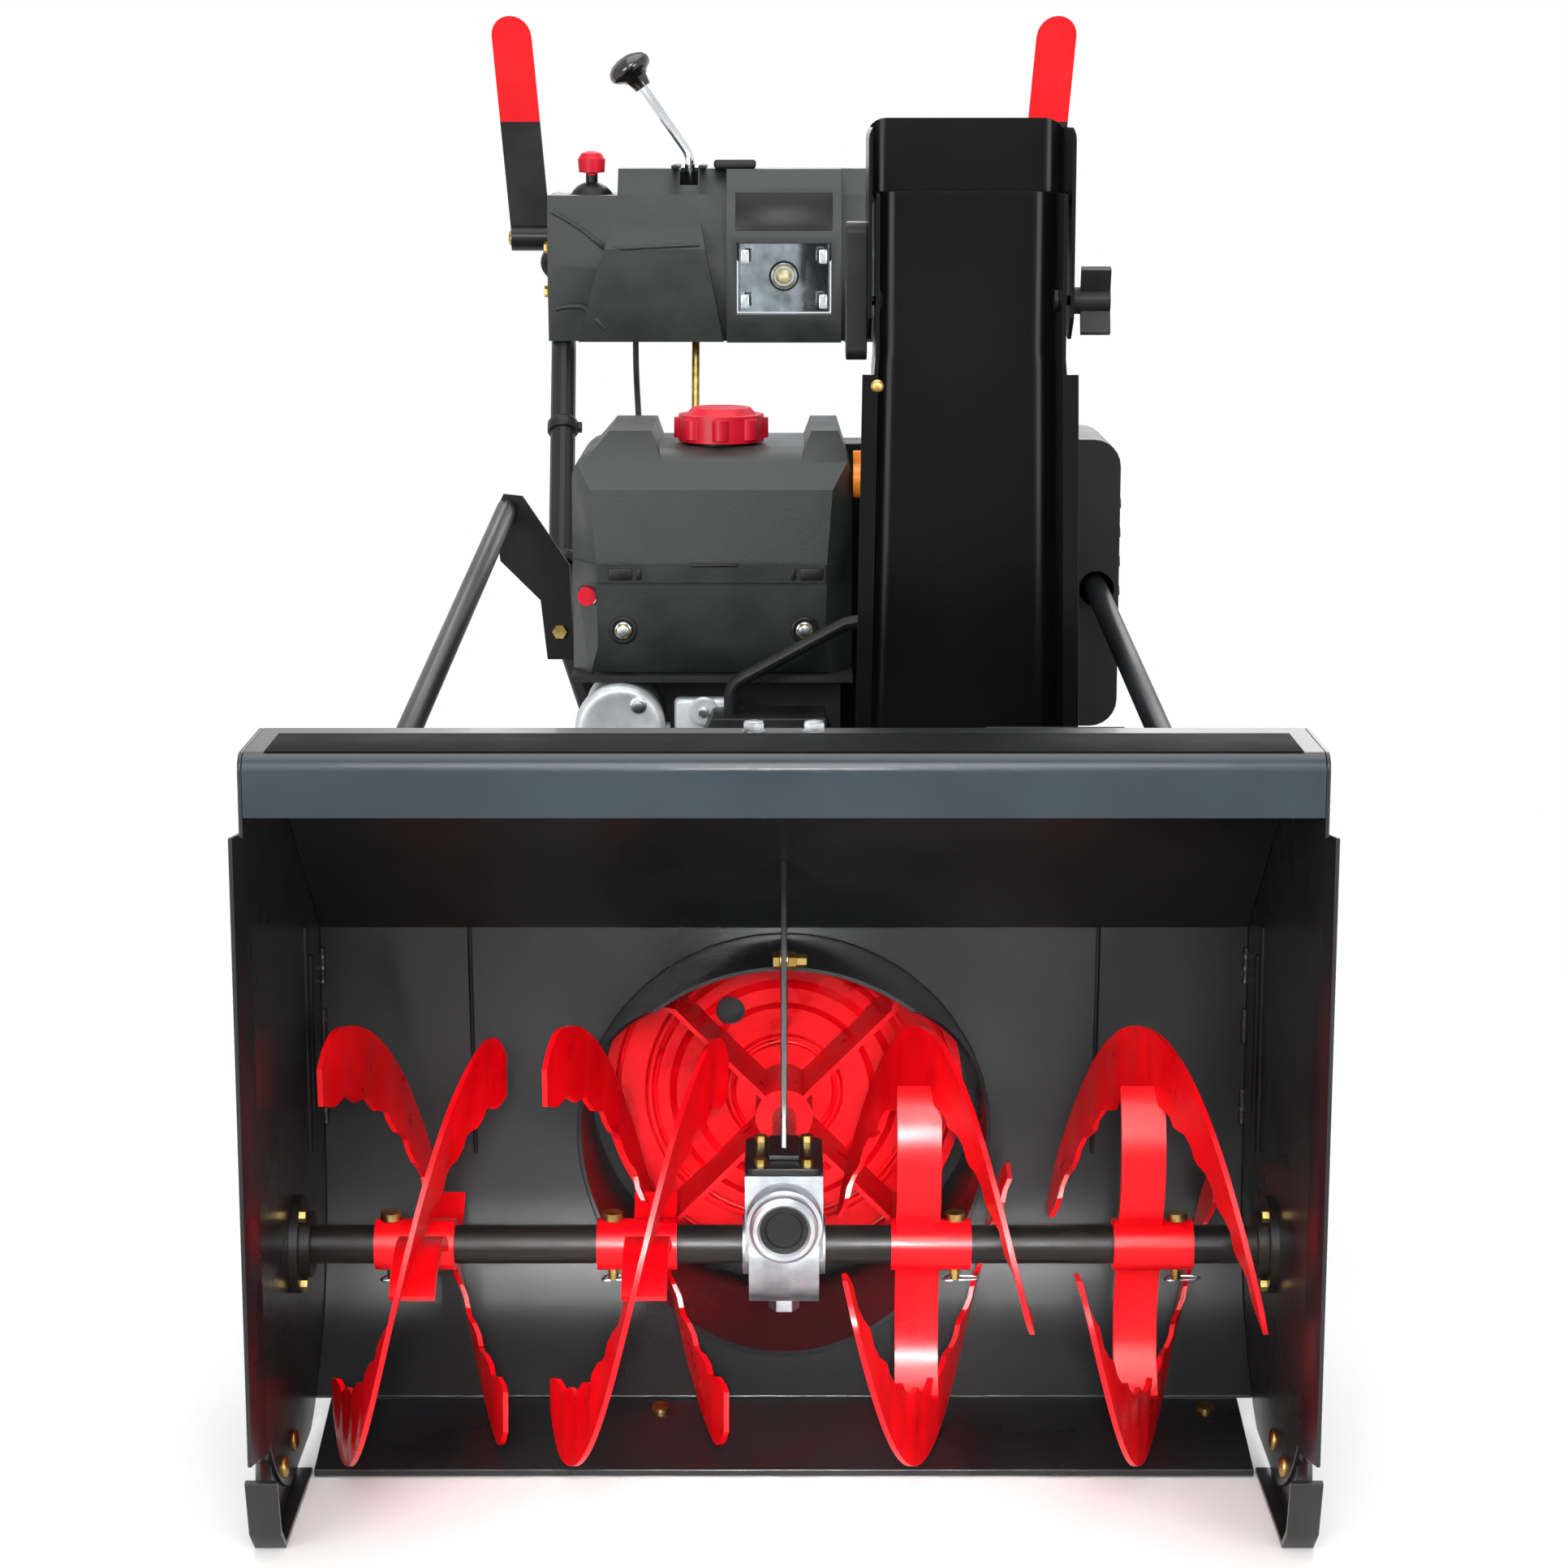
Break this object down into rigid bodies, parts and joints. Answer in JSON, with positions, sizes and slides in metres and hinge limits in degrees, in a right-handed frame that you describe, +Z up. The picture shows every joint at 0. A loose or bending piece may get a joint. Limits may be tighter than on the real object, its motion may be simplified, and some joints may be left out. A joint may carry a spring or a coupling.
{
  "type": "two stage snowblower",
  "caption": "Walk-behind snow thrower: scalloped augers feed an impeller that throws snow up a turning chute; engine, drive wheels, handles and console behind",
  "frame": {"origin": "middle of the bounding box on the ground, under the soles and tyres", "axes": "+Z up, the intake faces -Y, +X to the right in front view (the chute's side)"},
  "size_m": [0.792, 1.43, 1.15],
  "materials": {
    "black_paint": "gloss black enamel on steel sheet",
    "slate_paint": "slate grey enamel on the housing",
    "red_paint": "gloss red enamel on steel",
    "red_plastic": "moulded red plastic",
    "orange_plastic": "moulded orange plastic",
    "dark_plastic": "textured dark grey moulding",
    "black_plastic": "black moulding",
    "cast_aluminium": "sand-textured die casting",
    "steel": "turned steel",
    "zinc": "yellow zinc plate on steel",
    "bronze": "gear bronze",
    "chrome": "bright chrome",
    "rubber": "black rubber",
    "tyre": "black tyre rubber",
    "lens": "clear lens",
    "rim_paint": "silver-grey enamel"
  },
  "bodies": {
    "chassis": {"auger_housing": "slate_paint", "side_plates": "black_paint", "scraper_bar": "black_paint", "skid_shoes": "black_paint", "bearings": "steel", "impeller_drum": "black_paint", "gearbox_case": "cast_aluminium", "gearbox_cover": "black_paint", "gearbox_brace": "black_paint", "frame_box": "black_paint", "engine_block": "cast_aluminium", "engine_shroud": "dark_plastic", "blower_housing": "black_plastic", "fuel_tank": "black_plastic", "muffler_guard": "black_paint", "starter_motor": "cast_aluminium", "belt_cover": "black_plastic", "handle_tubes": "black_paint", "handle_braces": "black_paint", "hand_grips": "rubber", "dash_panel": "dark_plastic", "headlight_reflector": "chrome", "headlight_lens": "lens", "belts": "rubber", "chute_drive": "black_paint", "control_cables": "black_plastic", "fasteners": "zinc", "clean_out_tool": "black_plastic"},
    "auger": {"auger_shaft": "steel", "worm_wheel": "bronze", "left_outer_auger": "red_paint", "left_inner_auger": "red_paint", "right_inner_auger": "red_paint", "right_outer_auger": "red_paint", "shear_pins": "zinc"},
    "impeller": {"impeller": "red_paint", "impeller_shaft": "steel", "impeller_pulley": "steel"},
    "crank": {"crank_pulley": "steel"},
    "drive_disc": {"drive_disc": "steel"},
    "hex_shaft": {"hex_shaft": "steel"},
    "friction_wheel": {"friction_wheel": "rubber"},
    "left_wheel": {"left_rim": "rim_paint", "left_tyre": "tyre"},
    "right_wheel": {"right_rim": "rim_paint", "right_tyre": "tyre"},
    "chute": {"chute": "black_paint"},
    "deflector": {"deflector": "black_paint", "pitch_bracket": "black_plastic"},
    "wing_knob": {"wing_knob": "black_plastic"},
    "left_clutch_lever": {"left_clutch_lever": "red_paint"},
    "right_clutch_lever": {"right_clutch_lever": "red_paint"},
    "left_trigger": {"left_trigger": "black_plastic"},
    "right_trigger": {"right_trigger": "black_plastic"},
    "shift_lever": {"shift_lever": "chrome"},
    "joystick_gimbal": {"joystick_gimbal": "steel"},
    "joystick": {"joystick": "red_plastic"},
    "fuel_cap": {"fuel_cap": "red_plastic"},
    "choke_knob": {"choke_knob": "orange_plastic"},
    "start_button": {"start_button": "red_plastic"}
  },
  "joints": [
    {"name": "auger_spin", "type": "hinge", "parent": "chassis", "child": "auger", "pos_m": [0, -0.522, 0.188], "axis": [1, 0, 0], "continuous": true},
    {"name": "impeller_spin", "type": "hinge", "parent": "chassis", "child": "impeller", "pos_m": [0, -0.187, 0.222], "axis": [0, 1, 0], "continuous": true},
    {"name": "crank_spin", "type": "hinge", "parent": "chassis", "child": "crank", "pos_m": [0, -0.155, 0.44], "axis": [0, 1, 0], "continuous": true},
    {"name": "drive_disc_spin", "type": "hinge", "parent": "chassis", "child": "drive_disc", "pos_m": [0, -0.113, 0.222], "axis": [0, 1, 0], "continuous": true},
    {"name": "hex_shaft_spin", "type": "hinge", "parent": "chassis", "child": "hex_shaft", "pos_m": [0, -0.04, 0.222], "axis": [1, 0, 0], "continuous": true},
    {"name": "friction_shift", "type": "slide", "parent": "hex_shaft", "child": "friction_wheel", "axis": [1, 0, 0], "range_m": [-0.0345, 0.0345]},
    {"name": "left_wheel_spin", "type": "hinge", "parent": "chassis", "child": "left_wheel", "pos_m": [-0.264, 0.115, 0.203], "axis": [1, 0, 0], "continuous": true},
    {"name": "right_wheel_spin", "type": "hinge", "parent": "chassis", "child": "right_wheel", "pos_m": [0.264, 0.115, 0.203], "axis": [1, 0, 0], "continuous": true},
    {"name": "chute_turn", "type": "hinge", "parent": "chassis", "child": "chute", "pos_m": [0.15, -0.263, 0.47], "axis": [0, 0, 1], "range_deg": [-100, 100]},
    {"name": "deflector_tilt", "type": "hinge", "parent": "chute", "child": "deflector", "pos_m": [0.15, -0.263, 0.904], "axis": [1, 0, 0], "range_deg": [0, 45]},
    {"name": "wing_knob_turn", "type": "hinge", "parent": "chute", "child": "wing_knob", "pos_m": [0.15, -0.263, 0.904], "axis": [1, 0, 0], "range_deg": [-180, 180]},
    {"name": "left_clutch_fold", "type": "hinge", "parent": "chassis", "child": "left_clutch_lever", "pos_m": [-0.256, 0.45, 0.93], "axis": [-1, 0, 0], "range_deg": [0, 75], "stiffness_Nm_per_rad": 1.2, "springref_deg": -28.65},
    {"name": "right_clutch_fold", "type": "hinge", "parent": "chassis", "child": "right_clutch_lever", "pos_m": [0.256, 0.45, 0.93], "axis": [-1, 0, 0], "range_deg": [0, 75], "stiffness_Nm_per_rad": 1.2, "springref_deg": -28.65},
    {"name": "left_trigger_pull", "type": "hinge", "parent": "chassis", "child": "left_trigger", "pos_m": [-0.2332, 0.547, 0.8525], "axis": [1, 0, 0], "range_deg": [0, 8], "stiffness_Nm_per_rad": 0.6, "springref_deg": -17.19},
    {"name": "right_trigger_pull", "type": "hinge", "parent": "chassis", "child": "right_trigger", "pos_m": [0.2332, 0.547, 0.8525], "axis": [1, 0, 0], "range_deg": [0, 8], "stiffness_Nm_per_rad": 0.6, "springref_deg": -17.19},
    {"name": "shift_tilt", "type": "hinge", "parent": "chassis", "child": "shift_lever", "pos_m": [-0.095, 0.435, 0.935], "axis": [1, 0, 0], "range_deg": [-20, 20]},
    {"name": "joystick_side", "type": "hinge", "parent": "chassis", "child": "joystick_gimbal", "pos_m": [-0.194, 0.435, 0.963], "axis": [0, 1, 0], "range_deg": [-12, 12], "stiffness_Nm_per_rad": 0.5},
    {"name": "joystick_fore", "type": "hinge", "parent": "joystick_gimbal", "child": "joystick", "pos_m": [-0.194, 0.435, 0.963], "axis": [1, 0, 0], "range_deg": [-12, 12], "stiffness_Nm_per_rad": 0.5},
    {"name": "fuel_cap_turn", "type": "hinge", "parent": "chassis", "child": "fuel_cap", "pos_m": [-0.056, -0.015, 0.767], "axis": [0, 0, 1], "range_deg": [0, 90]},
    {"name": "choke_turn", "type": "hinge", "parent": "chassis", "child": "choke_knob", "pos_m": [0.06, -0.069, 0.737], "axis": [1, 0, 0], "range_deg": [0, 60]},
    {"name": "start_press", "type": "slide", "parent": "chassis", "child": "start_button", "axis": [0, 1, 0], "range_m": [0, 0.004], "stiffness_N_per_m": 400, "springref_m": -0.002}
  ],
  "couplings": [
    {"joint": "impeller_spin", "follows": "auger_spin", "ratio": 10},
    {"joint": "shift_tilt", "follows": "friction_shift", "rad_per_m": 10}
  ]
}
